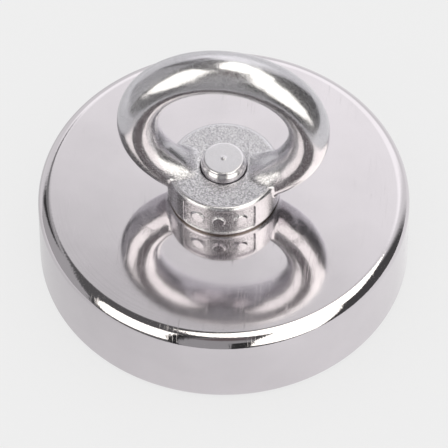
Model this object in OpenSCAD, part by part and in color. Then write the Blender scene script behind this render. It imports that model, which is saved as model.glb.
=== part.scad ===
// Magnet fishing magnet: a potted ring magnet with a cast eye nut on a countersunk bolt.
// Millimetres. The origin is the centre of the magnet face, and +Z points up to the eye.
// The eye's opening faces along Y.

/* [Pot] */
// Outer diameter of the steel pot
pot_d = 60; // [48:1:75]
// Height of the pot
pot_h = 15; // [14.5:0.5:18]
// Thickness of the pot's wall
wall_t = 4.6; // [3.5:0.1:6]
// Thickness of the pot's top plate
plate_t = 6; // [5:0.5:7]
// Radius of the rounded top edge
top_round = 2; // [1:0.1:3]
// Radius of the rounded foot
foot_round = 1.15; // [0.3:0.05:1.5]

/* [Magnet] */
// Diameter of the hole through the ring magnet
magnet_bore = 21; // [19:0.5:24]
// Width of the resin between the magnet and the wall
resin_w = 1; // [0.6:0.1:2]
// How far the magnet sits back from the rim of the pot
magnet_recess = 0.25; // [0.1:0.05:0.6]
// How far the resin sits back from the rim of the pot
resin_recess = 0.45; // [0.3:0.05:1]
// Thickness of the glue above the magnet
glue_t = 0.2; // [0.1:0.05:0.4]
// Thickness of the wall of the bush in the magnet's hole
bush_t = 1.8; // [1:0.1:2]

/* [Bolt] */
// Thread diameter
thread_d = 8; // [8:1:8]
// Length of the bolt, from the face of its head to its tip
bolt_len = 16; // [14:0.5:18]
// Diameter of the countersunk head
head_d = 16; // [14:0.5:16.5]
// Height of the straight edge of the head
head_land = 0.4; // [0.2:0.1:0.8]
// Width of the hexagon socket across its flats
socket_af = 5; // [4:0.5:6]
// Depth of the socket
socket_depth = 2.6; // [2:0.1:3]
// Diameter of the plain point
point_d = 7.26; // [6.6:0.02:7.6]
// Length of the plain point
point_len = 2.3; // [1:0.1:3]
// Diameter of the flat end of the point
tip_d = 6.4; // [5:0.1:6.5]

/* [Eye nut] */
// Inside diameter of the eye
eye_d = 20.8; // [18:0.1:24]
// Thickness of the ring, across its section in the eye's plane
ring_t = 6.6; // [5:0.1:8]
// Width of the ring, along the way through the eye
ring_w = 7; // [6.6:0.1:9]
// Height of the eye's centre above the pot
eye_h = 17; // [16.5:0.1:20]
// Diameter of the hub at its foot
hub_d = 18.2; // [16:0.1:20]
// Diameter of the hub at its top
hub_top_d = 17.8; // [15:0.1:20]
// Height of the hub
hub_h = 7; // [6:0.1:8]
// Size of the chamfer around the hub's foot
hub_chamfer = 0.4; // [0.2:0.1:1]
// Radius of the hub's rounded top edge
hub_round = 0.45; // [0.2:0.05:1]
// Width of the sunk panel on the front of the hub
panel_w = 11.4; // [10:0.1:12]
// Height of the panel
panel_h = 5.2; // [3:0.1:5.2]
// Depth of the panel
panel_depth = 0.2; // [0.1:0.05:0.4]
// Diameter of the three plain pips in the panel
pip_d = 2.2; // [1.5:0.1:2.8]

/* [Hidden] */

$fn = 96;
seat_gap = 0.05;    // running clearance of the bolt in its seat and in the nut
hole_gap = 0.25;    // radial room around the shank in the pot's hole
well_h = pot_h - plate_t;    // inside height of the cup
well_d = pot_d - 2 * wall_t;
magnet_d = well_d - 2 * resin_w;
magnet_top = well_h - glue_t;
shank_r = thread_d / 2;
head_r = head_d / 2;
head_z = well_h - head_land - 0.5;    // face of the head, half a millimetre proud of the plate
cone_z = head_z + head_land;          // where the head's 45 degree cone starts
tip_z = head_z + bolt_len;
point_z = tip_z - point_len;
tip_chamfer = (point_d - tip_d) / 2;
nut_r = shank_r + seat_gap;
ring_r = (eye_d + ring_t) / 2;        // radius of the ring's centre line
eye_z = pot_h + eye_h;
hub_top_z = pot_h + hub_h;
spot_r = 4.7;                         // flat kept clear around the bolt between the ring's legs
panel_z = pot_h + hub_h / 2;          // middle of the panel
pip_pitch = 3.4;
glue_margin = 0.1;                    // the glue stops this far short of the magnet's edges
past = 1;                             // how far a cut runs past a face

// A ring about Z with a rectangular section.
module tube(outer_r, inner_r, low_z, high_z) {
    translate([0, 0, low_z])
        difference() {
            cylinder(r = outer_r, h = high_z - low_z);
            translate([0, 0, -past]) cylinder(r = inner_r, h = high_z - low_z + 2 * past);
        }
}

// Half of the section of a disc with rounded edges, to be turned about Z.
module rounded_half_section(r, low_z, high_z, low_round, high_round) {
    translate([0, low_z]) square([r - low_round, high_z - low_z]);
    translate([0, low_z + low_round]) square([r, high_z - low_z - low_round - high_round]);
    translate([0, high_z - 2 * high_round]) square([r - high_round, 2 * high_round]);
    translate([r - low_round, low_z + low_round]) circle(r = low_round);
    translate([r - high_round, high_z - high_round]) circle(r = high_round);
}

// The steel cup, with the bolt's hole and countersink through its top plate.
module pot_shell() {
    color([0.80, 0.79, 0.79])
        difference() {
            rotate_extrude()
                rounded_half_section(pot_d / 2, 0, pot_h, foot_round, top_round);
            translate([0, 0, -past]) cylinder(d = well_d, h = well_h + past);
            cylinder(r = shank_r + hole_gap, h = pot_h + past);
            countersink();
        }
}

// The seat of the bolt's head, parallel to the head and one running clearance away.
module countersink() {
    seat_r = head_r + seat_gap;
    translate([0, 0, cone_z]) cylinder(r1 = seat_r, r2 = 0, h = seat_r);
}

// The magnet, plated, with its hole.
module ring_magnet() {
    color([0.74, 0.73, 0.71]) tube(magnet_d / 2, magnet_bore / 2, magnet_recess, magnet_top);
}

// The resin poured between the magnet and the wall.
module outer_epoxy_ring() {
    color([0.12, 0.12, 0.13]) tube(well_d / 2, magnet_d / 2, resin_recess, well_h);
}

// The bond between the magnet and the top plate.
module glue_layer() {
    color([0.75, 0.68, 0.45])
        tube(magnet_d / 2 - glue_margin, magnet_bore / 2 + glue_margin, magnet_top, well_h);
}

// The bush that lines the magnet's hole.
module bore_bush() {
    color([0.72, 0.56, 0.30])
        tube(magnet_bore / 2, magnet_bore / 2 - bush_t, resin_recess, well_h);
}

// The bolt: countersunk head with a hexagon socket, shank, and a plain chamfered point.
module countersunk_bolt() {
    color([0.68, 0.67, 0.66])
        difference() {
            union() {
                translate([0, 0, head_z]) cylinder(r = head_r, h = head_land);
                translate([0, 0, cone_z])
                    cylinder(r1 = head_r, r2 = shank_r, h = head_r - shank_r);
                translate([0, 0, cone_z]) cylinder(r = shank_r, h = point_z - cone_z);
                translate([0, 0, point_z]) cylinder(d = point_d, h = point_len - tip_chamfer);
                translate([0, 0, tip_z - tip_chamfer])
                    cylinder(d1 = point_d, d2 = tip_d, h = tip_chamfer);
            }
            translate([0, 0, head_z - past])
                cylinder(d = socket_af / cos(30), h = socket_depth + past, $fn = 6);
        }
}

// The cast eye nut.
module eye_nut() {
    color([0.70, 0.69, 0.70])
        difference() {
            union() {
                hub();
                eye_ring();
            }
            hub_panel();
            translate([0, 0, pot_h - past]) cylinder(r = nut_r, h = hub_h + 2 * past);
            translate([0, 0, hub_top_z]) cylinder(r = spot_r, h = ring_t);
        }
}

// The hub: slightly tapered, with a chamfered foot and a rounded top edge.
module hub() {
    foot_r = hub_d / 2;
    top_r = hub_top_d / 2;
    rotate_extrude() {
        polygon([
            [0, pot_h],
            [foot_r - hub_chamfer, pot_h],
            [foot_r, pot_h + hub_chamfer],
            [top_r, hub_top_z - hub_round],
            [top_r - hub_round, hub_top_z],
            [0, hub_top_z]
        ]);
        translate([top_r - hub_round, hub_top_z - hub_round]) circle(r = hub_round);
    }
}

// The ring of the eye. Its section is round, drawn out a little along the way through the eye.
module eye_ring() {
    flat = ring_w - ring_t;
    translate([0, 0, eye_z])
        rotate([90, 0, 0])
            rotate_extrude()
                translate([ring_r, 0]) {
                    for (side = [-1, 1])
                        translate([0, side * flat / 2]) circle(d = ring_t);
                    square([ring_t, flat], center = true);
                }
}

// What is cut away for the sunk panel on the front of the hub. Its pips are left standing.
module hub_panel() {
    floor_r = (hub_d + hub_top_d) / 4 - panel_depth;
    intersection() {
        tube(hub_d / 2 + past, floor_r, pot_h, hub_top_z);
        translate([0, 0, panel_z])
            rotate([90, 0, 0])
                linear_extrude(hub_d / 2 + past) panel_outline();
    }
}

// The panel without its pips, seen from the front.
module panel_outline() {
    difference() {
        square([panel_w, panel_h], center = true);
        for (i = [-1:1])
            translate([i * pip_pitch, 0]) circle(d = pip_d);
    }
}

pot_shell();
ring_magnet();
outer_epoxy_ring();
glue_layer();
bore_bush();
countersunk_bolt();
eye_nut();
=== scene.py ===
"""Looks of the magnet fishing magnet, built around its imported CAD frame.

Everything is in metres in the frame's own axes: the magnet face is on z = 0, the bolt runs
along +Z, and the eye opens along Y.
"""
import math

import bpy
import numpy as np
from mathutils import Matrix, Vector


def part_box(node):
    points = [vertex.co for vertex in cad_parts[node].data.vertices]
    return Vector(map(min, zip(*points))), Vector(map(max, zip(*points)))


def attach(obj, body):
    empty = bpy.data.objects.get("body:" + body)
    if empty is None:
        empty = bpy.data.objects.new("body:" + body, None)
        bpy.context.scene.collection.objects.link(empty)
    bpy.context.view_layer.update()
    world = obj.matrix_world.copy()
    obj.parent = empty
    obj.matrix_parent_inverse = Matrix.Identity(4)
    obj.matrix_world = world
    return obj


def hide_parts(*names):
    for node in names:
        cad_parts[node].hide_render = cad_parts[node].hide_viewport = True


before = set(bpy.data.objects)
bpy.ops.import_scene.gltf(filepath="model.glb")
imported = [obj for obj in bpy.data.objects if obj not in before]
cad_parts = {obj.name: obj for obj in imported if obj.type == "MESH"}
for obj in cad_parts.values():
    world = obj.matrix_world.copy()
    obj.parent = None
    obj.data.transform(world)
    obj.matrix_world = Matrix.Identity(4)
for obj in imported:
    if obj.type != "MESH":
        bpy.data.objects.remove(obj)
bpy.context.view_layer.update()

MM = 0.001


# ---------------------------------------------------------------- sizes from the frame

def reach(node):
    """Outer radius, lowest z and highest z of a CAD node that is round about Z."""
    low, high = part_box(node)
    return (high.x - low.x) / 2, low.z, high.z


POT_R, FLOOR_Z, POT_TOP = reach("pot_shell")
MAGNET_R, MAGNET_FACE, MAGNET_TOP = reach("ring_magnet")
RESIN_R, RESIN_FACE, WELL_TOP = reach("outer_epoxy_ring")
BUSH_R, BUSH_FACE, _ = reach("bore_bush")
GLUE_R, GLUE_LOW, GLUE_TOP = reach("glue_layer")
HEAD_R, HEAD_FACE, TIP_Z = reach("countersunk_bolt")
EYE_R, NUT_FOOT, EYE_TOP = reach("eye_nut")

# ---------------------------------------------------------------- sizes that the frame's boxes don't give

TOP_ROUND = 2.0 * MM           # rounded top edge of the pot
FOOT_ROUND = 1.15 * MM
HOLE_R = 4.25 * MM             # hole for the bolt in the pot's top plate
SEAT_GAP = 0.05 * MM
BUSH_WALL = 1.8 * MM
GLUE_BORE_R = BUSH_R + 0.1 * MM

PITCH = 1.25 * MM
CREST_R = 3.99 * MM
ROOT_R = 3.27 * MM
POINT_R = 3.68 * MM            # unthreaded end of the bolt
POINT_LEN = 2.6 * MM
HEAD_LAND = 0.4 * MM
SOCKET_AF = 5.0 * MM
SOCKET_DEPTH = 2.6 * MM

RING_T = 6.6 * MM              # section of the ring in the eye's plane
RING_W = 7.0 * MM              # and along Y
HUB_FOOT_R = 9.1 * MM
HUB_TOP_R = 8.9 * MM
HUB_H = 7.0 * MM
HUB_ROUND = 0.55 * MM
NUT_BORE_R = 4.05 * MM
NUT_LIP_R = 3.75 * MM          # the bore's mouth at the top, close around the bolt's point
SPOT_R = 4.6 * MM              # flat around the bolt, between the ring's legs
PANEL_W, PANEL_H, PANEL_DEPTH = 11.4 * MM, 5.2 * MM, 0.3 * MM
PIP_R, PIP_PITCH = 1.1 * MM, 3.4 * MM


# ---------------------------------------------------------------- turned pieces

def rounded(corners, closed=True, steps=8, hold=0.12 * MM):
    """An outline of (r, z) points through corners (r, z, rounding), with true arcs.

    A point is held close to each end of an arc, so that the flats beside it stay flat."""
    points = []
    count = len(corners)
    for i, (r, z, rounding) in enumerate(corners):
        here = Vector((r, z))
        at_end = not closed and i in (0, count - 1)
        if at_end or rounding == 0:
            points.append(here)
            continue
        before = Vector(corners[i - 1][:2]) - here
        after = Vector(corners[(i + 1) % count][:2]) - here
        half = before.angle(after) / 2
        reach_back = rounding / math.tan(half)
        centre = here + (before.normalized() + after.normalized()).normalized() * rounding / math.sin(half)
        start = here + before.normalized() * reach_back
        end = here + after.normalized() * reach_back
        if before.length > 2 * (reach_back + hold):
            points.append(start + before.normalized() * hold)
        a, b = start - centre, end - centre
        turn = a.angle_signed(b)
        for k in range(steps + 1):
            angle = -turn * k / steps
            c, s = math.cos(angle), math.sin(angle)
            points.append(centre + Vector((a.x * c - a.y * s, a.x * s + a.y * c)))
        if after.length > 2 * (reach_back + hold):
            points.append(end + after.normalized() * hold)
    return [tuple(p) for p in points]


def turned(name, rows, closed, segments=256):
    """A mesh swept about Z. A row is (r, z), and either may be an array over the angles.

    A closed piece joins its last row to its first; an open one starts and ends on the axis."""
    angles = np.arange(segments) * 2 * math.pi / segments
    vertices, loops = [], []
    for r, z in rows:
        r = np.broadcast_to(r, segments)
        z = np.broadcast_to(z, segments)
        if r.max() < 1e-9:
            loops.append([len(vertices)] * segments)
            vertices.append((0.0, 0.0, float(z[0])))
            continue
        loops.append(list(range(len(vertices), len(vertices) + segments)))
        vertices.extend(zip(r * np.cos(angles), r * np.sin(angles), z))
    faces = []
    pairs = list(zip(loops, loops[1:])) + ([(loops[-1], loops[0])] if closed else [])
    for low, high in pairs:
        for k in range(segments):
            n = (k + 1) % segments
            face = [low[k], low[n], high[n], high[k]]
            faces.append([v for j, v in enumerate(face) if v not in face[:j]])
    return finished(name, vertices, faces)


def finished(name, vertices, faces, normals=None):
    """A smooth-shaded object in the scene, made from a mesh's points and faces."""
    mesh = bpy.data.meshes.new(name)
    mesh.from_pydata([tuple(map(float, v)) for v in vertices], [], faces)
    mesh.validate()
    mesh.shade_smooth()
    if normals is not None:
        mesh.normals_split_custom_set_from_vertices([tuple(map(float, n)) for n in normals])
    piece = bpy.data.objects.new(name, mesh)
    bpy.context.scene.collection.objects.link(piece)
    return piece


def make_pot():
    """The steel cup: rounded top edge and foot, well, and the countersunk hole."""
    seat_r = HEAD_R + SEAT_GAP
    cone_z = HEAD_FACE + HEAD_LAND
    mouth_r = seat_r - (WELL_TOP - cone_z)
    hole_z = cone_z + seat_r - HOLE_R
    outline = rounded([
        (HOLE_R, POT_TOP, 0.25 * MM),
        (POT_R, POT_TOP, TOP_ROUND),
        (POT_R, FLOOR_Z, FOOT_ROUND),
        (RESIN_R, FLOOR_Z, 0.3 * MM),
        (RESIN_R, WELL_TOP, 0.3 * MM),
        (mouth_r, WELL_TOP, 0.1 * MM),
        (HOLE_R, hole_z, 0.1 * MM),
    ], steps=12)
    return turned("pot_shell_turned", outline[::-1], closed=True, segments=320)


def make_ring(name, outer_r, inner_r, low_z, high_z, edge):
    """A ring with a rectangular section and rounded edges."""
    outline = rounded([
        (inner_r, high_z, edge), (outer_r, high_z, edge),
        (outer_r, low_z, edge), (inner_r, low_z, edge),
    ], steps=5)
    return turned(name, outline[::-1], closed=True, segments=192)


def hexagon(across_flats, angles):
    """Distance from the centre to the side of a hexagon, at each angle."""
    sector = math.pi / 3
    return across_flats / 2 / np.cos((angles % sector) - sector / 2)


def thread_rows(low_z, high_z, segments):
    """Rows of a right-hand metric thread, running out into a plain point at the top."""
    angles = np.arange(segments) * 2 * math.pi / segments
    rows = []
    steps = round((high_z - low_z) / PITCH * 16)
    for i in range(steps + 1):
        z = low_z + (high_z - low_z) * i / steps
        phase = (z / PITCH - angles / (2 * math.pi)) % 1.0
        # flank: 0 at the middle of a crest, 1 at the middle of a root
        across = np.abs(phase - 0.5) * 2
        depth = np.clip((across - 0.14) / (0.74 - 0.14), 0, 1)
        depth = depth * depth * (3 - 2 * depth) * 0.35 + depth * 0.65
        # the thread starts with a helical run-out, so the fade follows the angle too
        lead = (high_z - z) / PITCH - 0.9 * ((angles / (2 * math.pi) + 0.35) % 1.0)
        full = np.clip(lead / 0.45, 0, 1)
        full = full * full * (3 - 2 * full)
        radius = CREST_R - (CREST_R - ROOT_R) * depth
        rows.append((POINT_R + (radius - POINT_R) * full, z))
    return rows


# The bolt's end, as radius and depth below its tip in mm: a bead, a neck, the face and the small
# nub that turning leaves at its centre.
BOLT_END = (
    (3.68, 1.6), (3.675, 1.35), (3.65, 1.15), (3.60, 0.98), (3.52, 0.84), (3.42, 0.73), (3.33, 0.66),
    (3.29, 0.60), (3.28, 0.50), (3.27, 0.34), (3.25, 0.27), (3.20, 0.20), (3.12, 0.16), (3.0, 0.15),
    (2.8, 0.15), (0.6, 0.15), (0.44, 0.15), (0.38, 0.14), (0.24, 0.07), (0.12, 0.01), (0, 0),
)


def make_bolt():
    """The bolt: hexagon socket, countersunk head, rolled thread, and the plain end."""
    segments = 120
    angles = np.arange(segments) * 2 * math.pi / segments
    hex_r = hexagon(SOCKET_AF, angles)
    mouth_r = SOCKET_AF / 2 / math.cos(math.pi / 6) + 0.15 * MM
    socket_top = HEAD_FACE + SOCKET_DEPTH
    cone_z = HEAD_FACE + HEAD_LAND
    neck_z = cone_z + HEAD_R - CREST_R
    point_z = TIP_Z - POINT_LEN
    rows = [(0, socket_top + 0.6 * MM)]
    rows += [(hex_r * k, socket_top + 0.6 * MM * (1 - k)) for k in (0.5, 0.97)]
    rows += [(hex_r, socket_top - 0.05 * MM), (hex_r, HEAD_FACE + 0.35 * MM)]
    rows += [(hex_r * 0.5 + mouth_r * 0.5, HEAD_FACE + 0.14 * MM)]
    rows += rounded([
        (mouth_r, HEAD_FACE, 0),
        (HEAD_R, HEAD_FACE, 0.15 * MM),
        (HEAD_R, cone_z, 0.1 * MM),
        (CREST_R, neck_z, 0.2 * MM),
        (CREST_R, neck_z + 0.3 * MM, 0),
    ], closed=False, steps=5)
    rows += thread_rows(neck_z + 0.4 * MM, point_z, segments)
    rows += [(POINT_R, point_z + 0.05 * MM)]
    rows += [(r * MM, TIP_Z - down * MM) for r, down in BOLT_END]
    return turned("countersunk_bolt_threaded", rows, closed=False, segments=segments)


# ---------------------------------------------------------------- the cast eye nut

def smooth_add(a, b, r):
    """Union of two distance fields, with a fillet of radius r where they meet."""
    gap = np.hypot(np.maximum(r - a, 0), np.maximum(r - b, 0))
    return np.maximum(r, np.minimum(a, b)) - gap


def smooth_cut(a, b, r):
    """The part of field a that is also inside field b, with its edges rounded to radius r."""
    gap = np.hypot(np.maximum(r + a, 0), np.maximum(r + b, 0))
    return np.minimum(-r, np.maximum(a, b)) + gap


def hub_field(x, y, z):
    """The hub: tapered, with a chamfered foot and a rounded top edge. z is above the pot."""
    taper = (HUB_FOOT_R - HUB_TOP_R) / HUB_H
    side = (np.hypot(x, y) - (HUB_FOOT_R - taper * z)) / math.hypot(1, taper)
    body = smooth_cut(side, z - HUB_H, HUB_ROUND)
    chamfer = (side - z + 0.4 * MM) / math.sqrt(2)
    return smooth_cut(body, chamfer, 0.6 * MM), side


def ring_field(x, y, z):
    """The ring: a slightly oval section, wider along Y. z is above the pot."""
    thick, wide = RING_T / 2, RING_W / 2
    out = np.hypot(x, z - (EYE_TOP - POT_TOP - EYE_R)) - (EYE_R - thick)
    reach_out = np.hypot(out / thick, y / wide)
    steepness = np.hypot(out / thick ** 2, y / wide ** 2)
    return reach_out * (reach_out - 1) / np.maximum(steepness, 1)


def panel_field(x, y, z, side):
    """What is cut away for the sunk panel on the front of the hub. Its pips are left standing."""
    up = z - HUB_H / 2
    across, along = np.abs(x) - PANEL_W / 2, np.abs(up) - PANEL_H / 2
    outline = smooth_cut(across, along, 0.5 * MM)
    for i in (-1, 0, 1):
        pip = np.hypot(x - i * PIP_PITCH, up) - PIP_R
        outline = np.maximum(outline, -pip)
    cut = smooth_cut(outline, -(side + PANEL_DEPTH), 0.1 * MM)
    return np.maximum(cut, y + HUB_FOOT_R / 3)


def casting_waves(x, y, z):
    """Slow unevenness of the cast and polished surface."""
    k = 2 * math.pi / (5.3 * MM)
    first = np.sin(k * x + 1.3) * np.sin(k * 0.81 * y + 0.4) * np.sin(k * 0.93 * z + 2.1)
    second = np.sin(k * 1.9 * x + 2.2 * y * k + 0.7) * np.sin(k * 1.7 * z + 0.9)
    return first * 0.016 * MM + second * 0.004 * MM


def eye_nut_field(p):
    """Signed distance to the eye nut's surface, negative inside."""
    x, y, z = p[:, 0], p[:, 1], p[:, 2] - NUT_FOOT
    hub, side = hub_field(x, y, z)
    r = np.hypot(x, y)
    # the legs fall back from the bolt in a steep cone, which leaves the hub's top flat around it
    clearance = (SPOT_R + (z - HUB_H) * 0.7 - r) / 1.22
    clearance = np.where(z > HUB_H + RING_T, -RING_T, clearance)
    ring = smooth_cut(ring_field(x, y, z) + casting_waves(x, y, z), clearance, 0.9 * MM)
    fillet = np.interp(z, [HUB_H - 1.2 * MM, HUB_H + 1.2 * MM], [0.4 * MM, 0.8 * MM])
    solid = smooth_add(hub, ring, fillet)
    solid = smooth_cut(solid, -panel_field(x, y, z, side), 0.16 * MM)
    solid = smooth_cut(solid, -z, 0.06 * MM)
    bore = np.maximum(r - NUT_BORE_R, z - HUB_H + 0.8 * MM)
    lip = np.maximum(r - NUT_LIP_R, z - HUB_H - RING_T)
    foot_chamfer = (r - NUT_BORE_R - 0.5 * MM + z) / math.sqrt(2)
    bore = np.minimum(np.minimum(bore, lip), foot_chamfer)
    return smooth_cut(solid, -bore, 0.18 * MM)


def slope(field, p, step=0.004 * MM):
    """Gradient of a field at each point."""
    parts = []
    for axis in range(3):
        offset = np.zeros(3)
        offset[axis] = step
        parts.append((field(p + offset) - field(p - offset)) / (2 * step))
    return np.stack(parts, 1)


def spaced(*stretches):
    """Grid planes: each stretch is (from, to, spacing) and starts where the last one ended."""
    planes = []
    for low, high, step in stretches:
        planes.append(np.linspace(low, high, max(2, round((high - low) / step) + 1))[:-1])
    planes.append([stretches[-1][1]])
    return np.concatenate(planes)


def surface_of(field, axes):
    """Points and quads of a field's zero surface on a grid, with one point in each crossed cell."""
    shape = tuple(len(a) for a in axes)
    grid = np.stack(np.meshgrid(*axes, indexing="ij"), -1)
    value = field(grid.reshape(-1, 3)).reshape(shape)
    inside = value < 0
    cells = tuple(n - 1 for n in shape)
    spot = np.zeros(cells + (3,))
    hits = np.zeros(cells, int)

    def shifted(array, corner):
        return array[tuple(slice(c, c + n) for c, n in zip(corner, cells))]

    corners = [(i, j, k) for i in (0, 1) for j in (0, 1) for k in (0, 1)]
    for corner in corners:
        for axis in range(3):
            if corner[axis]:
                continue
            other = tuple(c + (n == axis) for n, c in enumerate(corner))
            a, b = shifted(value, corner), shifted(value, other)
            crossed = (a < 0) != (b < 0)
            share = np.where(crossed, a / np.where(crossed, a - b, 1), 0)[..., None]
            place = shifted(grid, corner) * (1 - share) + shifted(grid, other) * share
            spot += np.where(crossed[..., None], place, 0)
            hits += crossed
    mixed = hits > 0
    index = np.full(cells, -1)
    index[mixed] = np.arange(mixed.sum())
    points = spot[mixed] / hits[mixed][:, None]
    for _ in range(5):
        g = slope(field, points)
        points = points - g * (field(points) / np.maximum((g * g).sum(1), 0.05))[:, None]
    quads = []
    for axis in range(3):
        u, v = (axis + 1) % 3, (axis + 2) % 3
        low = [slice(1, -1)] * 3
        low[axis] = slice(0, -1)
        high = list(low)
        high[axis] = slice(1, None)
        a, b = inside[tuple(low)], inside[tuple(high)]
        for flip in (False, True):
            where = np.argwhere((b & ~a) if flip else (a & ~b))
            where[:, u] += 1
            where[:, v] += 1
            ring = []
            for du, dv in ((0, 0), (1, 0), (1, 1), (0, 1)):
                cell = where.copy()
                cell[:, u] -= du
                cell[:, v] -= dv
                ring.append(index[tuple(cell.T)])
            ring = np.stack(ring, 1)
            quads.append(ring[:, ::-1] if flip else ring)
    return points, np.concatenate(quads)


def make_eye_nut():
    """The casting, as one skin over the hub, the ring and the fillets between them."""
    fine, plain = 0.16 * MM, 0.4 * MM
    margin = 0.7 * MM
    edge, front = HUB_FOOT_R + margin, PANEL_W / 2 + margin
    far = EYE_R + margin
    hub_top = NUT_FOOT + HUB_H
    axes = (
        spaced((-far, -front, plain), (-front, front, fine), (front, far, plain)),
        spaced((-edge, -5 * MM, fine), (-5 * MM, edge, 0.3 * MM)),
        spaced((NUT_FOOT - margin, hub_top + margin, fine), (hub_top + margin, EYE_TOP + margin, plain)),
    )
    points, quads = surface_of(eye_nut_field, axes)
    normals = slope(eye_nut_field, points)
    normals /= np.linalg.norm(normals, axis=1)[:, None]
    return finished("eye_nut_cast", points, quads.tolist(), normals)


# ---------------------------------------------------------------- materials

class Nodes:
    """Short calls for building one material's node tree."""

    def __init__(self, name):
        self.material = bpy.data.materials.new(name)
        self.material.use_nodes = True
        self.tree = self.material.node_tree
        self.shader = self.tree.nodes["Principled BSDF"]
        self.place = self.tree.nodes.new("ShaderNodeTexCoord").outputs["Object"]

    def add(self, kind, inputs=None, **settings):
        """A node with its settings, and its inputs set to a value or joined to a socket."""
        made = self.tree.nodes.new("ShaderNode" + kind)
        for key, value in settings.items():
            setattr(made, key, value)
        for key, value in (inputs or {}).items():
            self.join(value, made.inputs[key])
        return made

    def join(self, value, socket):
        if isinstance(value, bpy.types.NodeSocket):
            self.tree.links.new(value, socket)
        else:
            socket.default_value = value

    def math(self, operation, a, b=0.0, clamp=False):
        return self.add("Math", {0: a, 1: b}, operation=operation, use_clamp=clamp).outputs[0]

    def noise(self, scale, detail=2.0, place=None, roughness=0.5, distortion=0.0):
        return self.add("TexNoise", {
            "Vector": place or self.place, "Scale": scale, "Detail": detail,
            "Roughness": roughness, "Distortion": distortion}).outputs["Fac"]

    def spread(self, value, low, high, to_low=0.0, to_high=1.0, smooth=False):
        """A value from low..high carried over to to_low..to_high."""
        return self.add("MapRange", {
            "Value": value, "From Min": low, "From Max": high, "To Min": to_low, "To Max": to_high,
        }, interpolation_type="SMOOTHSTEP" if smooth else "LINEAR").outputs[0]

    def blend(self, share, a, b):
        """Colour a where share is 0, and colour b where it is 1."""
        made = self.add("Mix", data_type="RGBA")
        self.join(share, made.inputs[0])
        self.join(a, made.inputs[6])
        self.join(b, made.inputs[7])
        return made.outputs[2]

    def from_axis(self, parts):
        """Distance from the magnet's axis, from a place's separate coordinates."""
        squares = [self.math("POWER", parts[k], 2.0) for k in (0, 1)]
        return self.math("SQRT", self.math("ADD", *squares))

    def moved(self, scale=(1, 1, 1), rotation=(0, 0, 0), offset=(0, 0, 0)):
        return self.add("Mapping", {
            "Vector": self.place, "Scale": scale, "Rotation": rotation, "Location": offset,
        }).outputs[0]

    def bump(self, height, distance, strength=1.0, below=None):
        inputs = {"Height": height, "Distance": distance, "Strength": strength}
        if below is not None:
            inputs["Normal"] = below
        return self.add("Bump", inputs).outputs[0]

    def set(self, **inputs):
        for key, value in inputs.items():
            self.join(value, self.shader.inputs[key.replace("_", " ")])


def scratches(n, angles, scale, narrow=0.012):
    """Fine straight scratches in several directions, broken up along their length."""
    total = None
    for i, angle in enumerate(angles):
        along = n.moved(scale=(scale, scale * 0.02, scale * 0.02),
                        rotation=(0, 0, math.radians(angle)), offset=(0.37 * i, 0.61 * i, 0))
        line = n.noise(1.0, 0.0, along)
        line = n.spread(n.math("ABSOLUTE", n.math("SUBTRACT", line, 0.5)), 0.0, narrow, 1.0, 0.0)
        where = n.noise(120 + 35 * i, 1.0, n.moved(offset=(0.1 * i, 0.2 * i, 0.3 * i)))
        line = n.math("MULTIPLY", line, n.spread(where, 0.54, 0.66))
        total = line if total is None else n.math("MAXIMUM", total, line)
    return total


def turning_lines(n, scale, detail=2.0):
    """Noise that only changes away from the axis and up it, as the marks left by turning do."""
    parts = n.add("SeparateXYZ", {0: n.place}).outputs
    along = n.math("ADD", n.from_axis(parts), n.math("MULTIPLY", parts[2], 3.1))
    lines = n.add("TexNoise", {"W": along, "Scale": scale, "Detail": detail}, noise_dimensions="1D")
    return lines.outputs["Fac"]


def mirror_nickel(name, tint, smoothness=0.055):
    """Bright nickel plate: a mirror with faint waves, smudges, turning marks and fine scratches.

    The turning marks spread reflections away from the axis more than around it."""
    n = Nodes(name)
    n.shader.inputs["Anisotropic"].default_value = 0.55
    n.shader.inputs["Anisotropic Rotation"].default_value = 0.25
    n.join(n.add("Tangent", direction_type="RADIAL", axis="Z").outputs[0], n.shader.inputs["Tangent"])
    smudge = n.spread(n.noise(90, 3.0), 0.35, 0.7)
    fine = n.noise(2600, 2.0)
    parts = n.add("SeparateXYZ", {0: n.place}).outputs
    corner = POT_R + POT_TOP
    at_edge = n.spread(n.math("ADD", n.from_axis(parts), parts[2]), corner - 2.3 * MM, corner - 1.6 * MM)
    marks = scratches(n, (12, 67, 118, 151), 900)
    dark = tuple(c * 0.94 for c in tint) + (1,)
    n.set(Base_Color=n.blend(smudge, tint + (1,), dark), Metallic=1.0)
    rough = n.math("ADD", smoothness, n.math("MULTIPLY", smudge, 0.02))
    rough = n.math("ADD", rough, n.math("MULTIPLY", marks, 0.14))
    n.set(Roughness=n.math("ADD", rough, n.math("MULTIPLY", fine, 0.01)))
    waves = n.bump(n.noise(180, 1.0), 0.004 * MM)
    lines = n.bump(turning_lines(n, 2200.0), 0.0007 * MM, below=waves)
    dents = n.bump(n.noise(2400, 2.0), 0.007 * MM, below=lines, strength=at_edge)
    n.set(Normal=n.bump(marks, 0.0015 * MM, below=dents))
    return n.material


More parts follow.
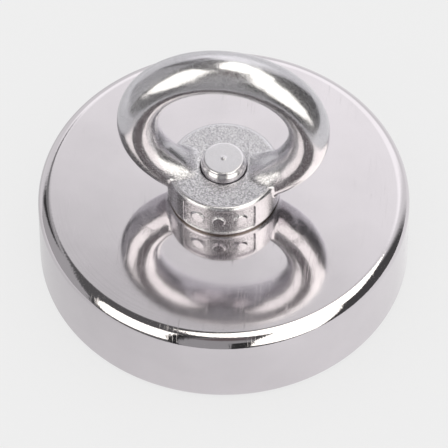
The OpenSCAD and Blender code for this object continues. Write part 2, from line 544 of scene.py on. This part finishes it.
def cast_nickel(name, tint):
    """Plated casting: a polished ring, and a granular skin on the hub and where the ring joins it."""
    n = Nodes(name)
    parts = n.add("SeparateXYZ", {0: n.place}).outputs
    height = parts[2]
    radius = n.from_axis(parts)
    hub_top = NUT_FOOT + HUB_H
    uneven = n.math("MULTIPLY", n.math("SUBTRACT", n.noise(260, 2.0), 0.5), 4 * MM)
    level = n.math("ADD", height, uneven)
    skin_zone = n.spread(level, hub_top + 2.6 * MM, hub_top + 0.4 * MM, smooth=True)
    side_zone = n.spread(height, hub_top - 0.15 * MM, hub_top - 0.6 * MM)
    # the hub's top edge is rubbed smooth
    rubbed = n.math("MULTIPLY", n.spread(radius, HUB_TOP_R - 0.8 * MM, HUB_TOP_R - 0.5 * MM),
                    n.spread(height, hub_top + 0.15 * MM, hub_top))
    taper = (HUB_FOOT_R - HUB_TOP_R) / HUB_H
    skin_r = n.math("ADD", radius, n.math("MULTIPLY", height, taper))
    full_r = HUB_FOOT_R + NUT_FOOT * taper
    sunk = n.spread(skin_r, full_r - 0.14 * MM, full_r - 0.22 * MM)
    sunk = n.math("MULTIPLY", sunk, n.spread(parts[1], 0.0, -1 * MM))
    sunk = n.math("MULTIPLY", sunk, side_zone)
    skin = n.math("MULTIPLY", skin_zone, n.spread(n.math("MAXIMUM", side_zone, rubbed), 0, 1, 1.0, 0.12))
    skin = n.math("MULTIPLY", skin, n.spread(parts[1], 6 * MM, -4 * MM, 0.5, 1.0))
    skin = n.math("MAXIMUM", skin, n.math("MULTIPLY", sunk, 0.9))
    # grains big enough to see, and satin too fine to see
    grains = n.spread(n.noise(3800, 2.0, roughness=0.6), 0.36, 0.64)
    satin = n.spread(n.noise(15000, 1.0), 0.54, 0.61)
    mottle = n.spread(n.noise(420, 3.0), 0.3, 0.75)
    speckle = n.math("MULTIPLY", n.math("ADD", mottle, grains), 0.5)
    polished = n.blend(speckle, tuple(c * 0.86 for c in tint) + (1,), tuple(c * 1.04 for c in tint) + (1,))
    cast = n.blend(grains, tuple(c * 0.58 for c in tint) + (1,), tuple(c * 1.02 for c in tint) + (1,))
    # painted shade: a dark brown band in the corner under the hub's foot, where shade falls
    painted_foot_shade = n.spread(height, NUT_FOOT + 0.5 * MM, NUT_FOOT + 0.25 * MM)
    n.set(Base_Color=n.blend(painted_foot_shade, n.blend(skin, polished, cast), (0.22, 0.19, 0.17, 1)), Metallic=1.0)
    rough = n.math("ADD", 0.13, n.math("MULTIPLY", satin, 0.4))
    rough = n.math("ADD", rough, n.math("MULTIPLY", mottle, 0.03))
    n.set(Roughness=n.math("ADD", rough, n.math("MULTIPLY", skin, 0.06)))
    wave = n.bump(n.noise(330, 2.0), 0.008 * MM)
    grainy = n.math("ADD", 0.22, n.math("MULTIPLY", skin, 0.78))
    n.set(Normal=n.bump(grains, 0.02 * MM, below=wave, strength=grainy))
    return n.material


def turned_steel(name, tint):
    """Plated steel with the fine rings that turning leaves."""
    n = Nodes(name)
    mottle = n.noise(900, 3.0)
    n.set(Base_Color=n.blend(mottle, tint + (1,), tuple(c * 0.93 for c in tint) + (1,)), Metallic=1.0)
    n.set(Roughness=n.spread(mottle, 0.3, 0.7, 0.17, 0.25))
    rings = n.bump(turning_lines(n, 9000.0, 1.0), 0.0008 * MM)
    n.set(Normal=n.bump(mottle, 0.002 * MM, below=rings))
    return n.material


def resin_black(name):
    """Poured resin: dark, glossy, with shallow pits and a slightly wavy face."""
    n = Nodes(name)
    cloud = n.noise(700, 3.0)
    pits = n.spread(n.noise(1500, 1.0), 0.28, 0.34)
    n.set(Base_Color=n.blend(cloud, (0.010, 0.010, 0.012, 1), (0.030, 0.030, 0.034, 1)))
    n.set(Roughness=n.spread(cloud, 0.3, 0.7, 0.22, 0.38))
    n.set(Normal=n.bump(pits, 0.04 * MM, below=n.bump(n.noise(500), 0.05 * MM)))
    return n.material


def glue_amber(name):
    """The hidden bond above the magnet."""
    n = Nodes(name)
    cloud = n.noise(500, 3.0)
    n.set(Base_Color=n.blend(cloud, (0.50, 0.40, 0.18, 1), (0.38, 0.29, 0.11, 1)))
    n.set(Roughness=n.spread(cloud, 0.3, 0.7, 0.35, 0.5), Normal=n.bump(cloud, 0.03 * MM))
    return n.material


# ---------------------------------------------------------------- pieces on the frame

def place(piece, body, node, slot, material):
    """Gives a piece its material and its body, and hides the frame's node that it stands for. slot is not
    used.
    """
    piece.data.materials.append(material)
    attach(piece, body)
    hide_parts(node)


NICKEL = (0.70, 0.663, 0.692)
CAST = (0.66, 0.645, 0.68)
BOLT = (0.72, 0.70, 0.73)
MAGNET_NICKEL = (0.66, 0.63, 0.61)
BRASS = (0.62, 0.45, 0.20)

place(make_pot(), "pot", "pot_shell", "plated_steel", mirror_nickel("mirror_nickel", NICKEL))
magnet = make_ring("ring_magnet_plated", MAGNET_R, BUSH_R, MAGNET_FACE, MAGNET_TOP, 0.35 * MM)
place(magnet, "pot", "ring_magnet", "plated_magnet", mirror_nickel("magnet_nickel", MAGNET_NICKEL, 0.16))
resin = make_ring("outer_epoxy_poured", RESIN_R, MAGNET_R, RESIN_FACE, WELL_TOP, 0.12 * MM)
place(resin, "pot", "outer_epoxy_ring", "resin", resin_black("resin_black"))
glue = make_ring("glue_layer_film", GLUE_R, GLUE_BORE_R, GLUE_LOW, GLUE_TOP, 0.04 * MM)
place(glue, "pot", "glue_layer", "glue", glue_amber("glue_amber"))
bush = make_ring("bore_bush_turned", BUSH_R, BUSH_R - BUSH_WALL, BUSH_FACE, WELL_TOP, 0.25 * MM)
place(bush, "pot", "bore_bush", "bush_brass", turned_steel("turned_brass", BRASS))
place(make_bolt(), "bolt", "countersunk_bolt", "bolt_steel", turned_steel("bolt_nickel", BOLT))
place(make_eye_nut(), "eye_nut", "eye_nut", "plated_casting", cast_nickel("cast_nickel", CAST))


# ---------------------------------------------------------------- camera

CAMERA_AZIMUTH = math.radians(5.8)
CAMERA_ELEVATION = math.radians(52.79)
CAMERA_ROLL = math.radians(-0.31)
CAMERA_DISTANCE = 0.8665
CAMERA_TARGET_Z = 6.49 * MM
LENS_MM = 428.4

AHEAD = Vector((-math.sin(CAMERA_AZIMUTH), math.cos(CAMERA_AZIMUTH), 0))
RIGHT = Vector((math.cos(CAMERA_AZIMUTH), math.sin(CAMERA_AZIMUTH), 0))
UP = Vector((0, 0, 1))


def make_camera():
    """The photograph's viewing angle."""
    data = bpy.data.cameras.new("camera")
    data.lens, data.sensor_width = LENS_MM, 36
    data.clip_start, data.clip_end = 0.05, 20
    camera = bpy.data.objects.new("camera", data)
    bpy.context.scene.collection.objects.link(camera)
    back = UP * math.sin(CAMERA_ELEVATION) - AHEAD * math.cos(CAMERA_ELEVATION)
    camera.location = UP * CAMERA_TARGET_Z + back * CAMERA_DISTANCE
    aim = (-back).to_track_quat("-Z", "Y").to_matrix().to_4x4()
    camera.rotation_euler = (aim @ Matrix.Rotation(CAMERA_ROLL, 4, "Z")).to_euler()
    bpy.context.scene.camera = camera


# ---------------------------------------------------------------- studio

def direction(azimuth, elevation):
    """Unit vector to a place in the studio. Azimuth is from straight ahead, positive to the right."""
    a, e = math.radians(azimuth), math.radians(elevation)
    return (AHEAD * math.cos(a) + RIGHT * math.sin(a)) * math.cos(e) + UP * math.sin(e)


# Tones of what the studio is lit with.
WHITE = (1.0, 1.0, 1.0)
WARM = (1.0, 0.985, 0.90)
DUSKY = (1.0, 0.82, 0.82)

# What the metal reflects, painted in this order: level, tone, and the corners of a convex patch.
# A corner is azimuth, elevation and half the softness, in degrees, of the edge that starts there.
STUDIO_LEVEL = 0.08
PATCHES = (
    # dim ceiling on the left
    (0.12, WHITE, ((-178, 20, 3), (-165, 80, 3), (60, 80, 3), (10, 40, 3), (-80, 20, 3))),
    # wall on the left, with something darker on it
    (0.47, WHITE, ((-113, -55, 2), (-106, 18, 2), (-52, 57, 1.5), (8, 46, 4), (8, -55, 4))),
    (0.05, WHITE, ((-47, 8, 3), (-54, 8, 3), (-57, 46, 3), (-45, 53, 2), (-39, 38, 3))),
    # pale paper behind, higher on its right, and best lit near its upper edge
    (0.84, WHITE, ((-58, -60, 3), (-60, 2, 5), (60, 55, 9), (66, -60, 6))),
    (1.32, WHITE, ((-24, 24, 8), (-25, 39.8, 6.5), (35, 55.8, 8), (42, 16, 8))),
    # a dim gap above it, on the left
    (0.25, WHITE, ((-45, 53, 2), (-14, 46, 2), (-16, 39, 3), (-42, 36, 3))),
    # the room behind the camera
    (0.38, WHITE, ((-153, -60, 1), (-158, 30, 4), (-172, 73, 3), (168, 73, 4), (164, 18, 2),
                   (178, -60, 2))),
    (0.15, DUSKY, ((-160, 44, 6), (-168, 66, 3), (-176, 74, 3), (168, 73, 4), (163, 40, 6))),
    (0.03, WHITE, ((-149, -60, 1), (-149, 62, 1), (-155, 62, 1), (-157, -60, 1))),
    (0.04, WHITE, ((163, -60, 1), (163, 22, 2), (177, 18, 1), (177, -60, 1))),
    # softboxes, with something dim under the left one
    (0.16, WHITE, ((-152, -60, 1), (-151, -5, 1), (-114, -5, 1), (-121, -60, 1))),
    (2.2, WARM, ((-152, -10, 0.8), (-146, 62, 0.8), (-97, 54, 1), (-117, -9, 1))),
    (2.2, WARM, ((131, -26, 1.5), (108, 44, 1), (145, 61, 1.2), (165, 22, 1), (167, -22, 1.5))),
    # lights overhead, mostly to the right
    (2.45, WARM, ((-142, 75, 1), (-25, 75.5, 1), (9, 60, 1), (50, 53.5, 1), (97, 42, 1.5),
                  (118, 42, 1), (146, 61, 1), (175, 74, 1.5))),
)
FLOOR_LEVEL = 0.865
FLOOR_TONE = 0.16              # the share of it that is lit from above; the rest glows
SHEET_R, SHEET_AHEAD = 149 * MM, 104 * MM
SHEET_LIFT_MM = 0.005          # keeps the sheet's face clear of the floor's
ROOM_R, FLOOR_R = 2.4, 2.3


def only_in_reflections(thing):
    """Keeps a piece of the studio out of the picture and out of the floor's light."""
    thing.visible_camera = False
    thing.visible_diffuse = False
    thing.visible_shadow = False
    thing.visible_transmission = False


def studio_paint(name):
    """Glowing material for the studio's shell, painted by the direction from the magnet."""
    n = Nodes(name)
    n.tree.nodes.remove(n.shader)
    look = n.add("VectorMath", {0: n.place}, operation="NORMALIZE").outputs[0]
    paint = (STUDIO_LEVEL,) * 3 + (1,)
    for level, tone, corners in PATCHES:
        ways = [direction(a, e) for a, e, _ in corners]
        middle = sum(ways, Vector((0, 0, 0)))
        inside = 1.0
        for k, way in enumerate(ways):
            across = way.cross(ways[(k + 1) % len(ways)]).normalized()
            if across.dot(middle) < 0:
                across = -across
            soft = math.sin(math.radians(corners[k][2]))
            past = n.add("VectorMath", {0: look, 1: across}, operation="DOT_PRODUCT").outputs["Value"]
            inside = n.math("MULTIPLY", inside, n.spread(past, -soft, soft, smooth=True))
        paint = n.blend(inside, paint, tuple(level * t for t in tone) + (1,))
    light = n.add("Emission", {"Color": paint})
    n.tree.links.new(light.outputs[0], n.tree.nodes["Material Output"].inputs["Surface"])
    n.material.cycles.emission_sampling = "NONE"
    return n.material


def make_shell():
    """A glowing shell around everything, seen only in reflections."""
    bpy.ops.mesh.primitive_uv_sphere_add(segments=64, ring_count=32, radius=ROOM_R)
    shell = bpy.context.object
    shell.name = "studio_shell"
    shell.data.materials.append(studio_paint("studio_paint"))
    only_in_reflections(shell)


def floor_paper(name, uneven):
    """Plain pale studio paper, partly glowing so that shadows on it stay faint.

    uneven gives it a painted shadow: its glow is darker in a stretch to the left of the magnet, where the
    magnet shades the floor."""
    n = Nodes(name)
    tooth = n.noise(900, 3.0)
    low, high = FLOOR_TONE * 0.99, FLOOR_TONE
    glow = FLOOR_LEVEL - FLOOR_TONE
    n.set(Base_Color=n.blend(tooth, (high, high, high, 1), (low, low, low, 1)), Roughness=0.9)
    n.set(Normal=n.bump(tooth, 0.01 * MM))
    n.shader.inputs["Specular IOR Level"].default_value = 0.0
    n.shader.inputs["Emission Color"].default_value = (1, 1, 1, 1)
    # painted shadow: the glow is dimmed to the left of the magnet
    if uneven:
        to_right = n.add("VectorMath", {0: n.place, 1: RIGHT}, operation="DOT_PRODUCT").outputs["Value"]
        off = n.math("ABSOLUTE", n.math("ADD", to_right, 42 * MM))
        glow = n.spread(off, 0, 60 * MM, glow - 0.17, glow + 0.05)
    n.join(glow, n.shader.inputs["Emission Strength"])
    n.material.cycles.emission_sampling = "NONE"
    return n.material


def make_floor():
    """The floor, and the pale sheet under the magnet that the metal reflects in its place, with a painted
    shadow on its left.
    """
    bpy.ops.mesh.primitive_circle_add(vertices=96, radius=FLOOR_R, fill_type="NGON")
    floor = bpy.context.object
    floor.name = "floor"
    floor.data.materials.append(floor_paper("floor_paper", False))
    floor.visible_glossy = False
    bpy.ops.mesh.primitive_circle_add(vertices=96, radius=1, fill_type="NGON")
    sheet = bpy.context.object
    sheet.name = "sheet"
    middle = Matrix.Translation(AHEAD * SHEET_AHEAD + UP * SHEET_LIFT_MM * MM)
    sheet.data.transform(middle @ Matrix.Scale(SHEET_R, 4))
    # the sheet's paper carries the painted shadow to the left of the magnet
    sheet.data.materials.append(floor_paper("sheet_paper_painted_shadow", True))
    only_in_reflections(sheet)


def make_world():
    """Even white light for the floor, and a paper-white backdrop. Reflections see the shell instead."""
    world = bpy.data.worlds.new("world")
    bpy.context.scene.world = world
    world.use_nodes = True
    tree = world.node_tree
    background = tree.nodes["Background"]
    background.inputs["Color"].default_value = (1, 1, 1, 1)
    rays = tree.nodes.new("ShaderNodeLightPath")
    level = tree.nodes.new("ShaderNodeMapRange")
    level.inputs["To Min"].default_value = 1.0
    level.inputs["To Max"].default_value = FLOOR_LEVEL
    tree.links.new(rays.outputs["Is Camera Ray"], level.inputs["Value"])
    tree.links.new(level.outputs[0], background.inputs["Strength"])
    world.cycles_visibility.glossy = False


make_camera()
make_world()
make_shell()
make_floor()
bpy.context.scene.view_settings.view_transform = "Standard"
